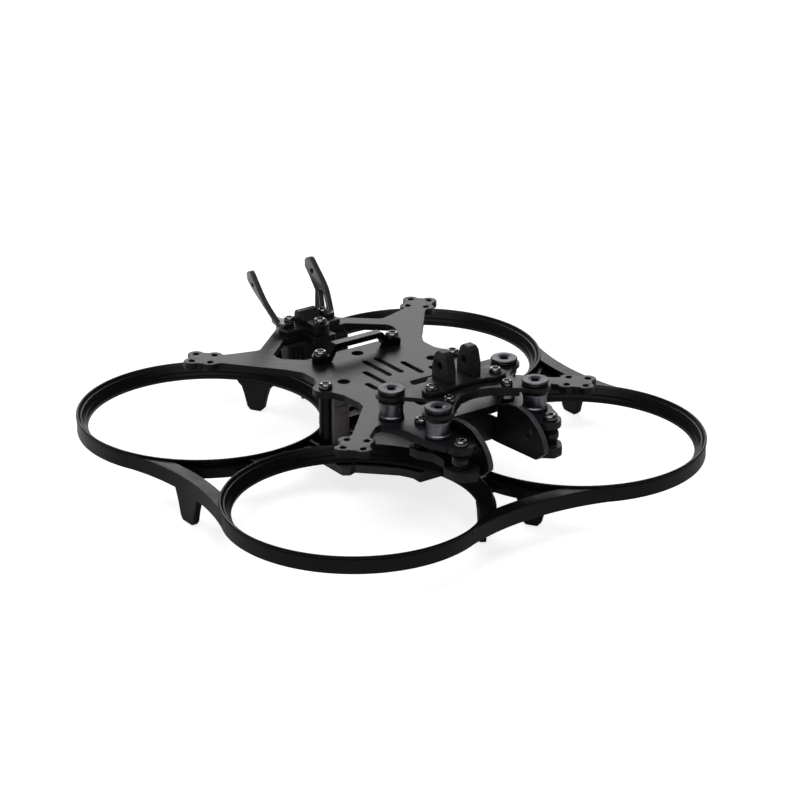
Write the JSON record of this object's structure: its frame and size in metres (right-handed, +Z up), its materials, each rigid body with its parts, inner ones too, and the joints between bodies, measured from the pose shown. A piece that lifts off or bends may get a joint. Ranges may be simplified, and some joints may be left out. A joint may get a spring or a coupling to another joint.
{
  "type": "ducted quadcopter frame",
  "caption": "Ducted quadcopter frame: carbon deck over moulded propeller guards, damped action-camera mount, damped camera cage, antenna arms.",
  "frame": {"origin": "on the ground, under the middle of the four motor positions", "axes": "+Z up; -Y is the nose with the camera cage, +Y the tail with the antenna arms; +X is the frame's left side"},
  "size_m": [0.1756, 0.1756, 0.0551],
  "materials": {
    "carbon": "satin carbon-fibre laminate",
    "moulded": "satin injection-moulded black",
    "anodised": "black anodised",
    "cap_metal": "turned, grey anodised",
    "rubber": "smooth black",
    "steel": "polished"
  },
  "bodies": {
    "frame": {"duct_ring_front_left": "moulded", "duct_ring_front_right": "moulded", "duct_ring_rear_left": "moulded", "duct_ring_rear_right": "moulded", "duct_join_left": "moulded", "duct_join_right": "moulded", "duct_join_rear": "moulded", "duct_join_front": "moulded", "hub_tray": "moulded", "hub_post_left": "moulded", "hub_post_right": "moulded", "standoff_left": "anodised", "standoff_right": "anodised", "standoff_screw_left": "steel", "standoff_screw_right": "steel", "carbon_deck": "carbon", "bridge_handle": "anodised", "handle_screw_left": "steel", "handle_screw_right": "steel", "antenna_mount": "moulded", "antenna_under_block": "moulded", "antenna_mount_screw": "steel", "antenna_arm_left": "anodised", "antenna_arm_right": "anodised", "antenna_screw_left": "steel", "antenna_screw_right": "steel", "damper_post_front_left": "anodised", "damper_post_front_right": "anodised", "damper_post_rear_left": "anodised", "damper_post_rear_right": "anodised", "damper_grommet_front_left": "rubber", "damper_grommet_front_right": "rubber", "damper_grommet_rear_left": "rubber", "damper_grommet_rear_right": "rubber", "damper_cap_front_left": "cap_metal", "damper_cap_front_right": "cap_metal", "damper_cap_rear_left": "cap_metal", "damper_cap_rear_right": "cap_metal", "rubber_ball_front_left": "rubber", "rubber_ball_front_right": "rubber", "rubber_ball_rear_left": "rubber", "rubber_ball_rear_right": "rubber", "ball_screw_front_left": "steel", "ball_screw_front_right": "steel", "ball_screw_rear_left": "anodised", "ball_screw_rear_right": "anodised"},
    "action_mount": {"damped_bracket": "moulded", "prong_mount": "moulded", "prong_screw_left": "steel", "prong_screw_right": "steel", "bracket_stud_left": "anodised", "bracket_stud_right": "anodised"},
    "camera_cage": {"cage_cradle": "moulded", "cheek_plate_left": "carbon", "cheek_plate_right": "carbon"}
  },
  "joints": [
    {"name": "action_mount_bounce", "type": "slide", "parent": "frame", "child": "action_mount", "axis": [0, 0, 1], "range_m": [-0.0004, 0.0004], "stiffness_N_per_m": 1500},
    {"name": "camera_cage_bounce", "type": "slide", "parent": "frame", "child": "camera_cage", "axis": [0, 0, 1], "range_m": [-0.0008, 0.0005], "stiffness_N_per_m": 1000}
  ]
}
